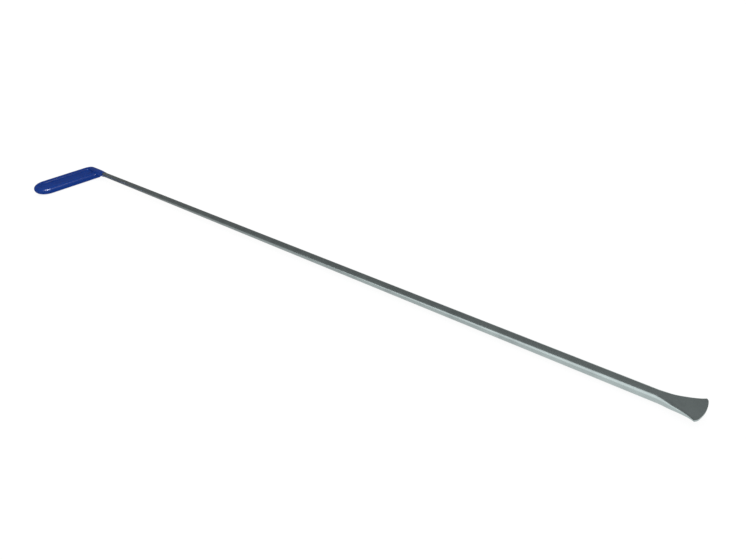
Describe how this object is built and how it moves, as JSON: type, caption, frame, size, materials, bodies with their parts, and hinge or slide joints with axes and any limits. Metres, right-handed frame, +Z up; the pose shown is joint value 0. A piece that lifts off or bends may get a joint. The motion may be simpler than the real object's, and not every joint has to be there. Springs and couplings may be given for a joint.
{
  "type": "push rod with loop handle",
  "caption": "Long round steel push rod with a flat forged fan blade at one end and a closed, webbed loop handle in blue dipped vinyl across the other.",
  "frame": {"origin": "centre of the bounding box's base, on the surface that the tool lies on", "axes": "+X along the shaft from the handle towards the blade, +Y away from the handle's closed end, +Z up, square to the blade's flat face within half a degree"},
  "size_m": [1.2086, 0.1348, 0.0198],
  "materials": {
    "bar_steel": "bright drawn round bar with a fine grain along it, clear lacquered",
    "weld_steel": "raw weld bead under the coat",
    "plate_steel": "mill finish sheet under the coat",
    "vinyl": "deep blue dipped PVC, smooth and glossy, slightly wavy"
  },
  "bodies": {
    "root": {"steel_bar": "bar_steel", "loop_weld": "weld_steel", "loop_web_plate": "plate_steel", "vinyl_grip": "vinyl"}
  },
  "joints": []
}
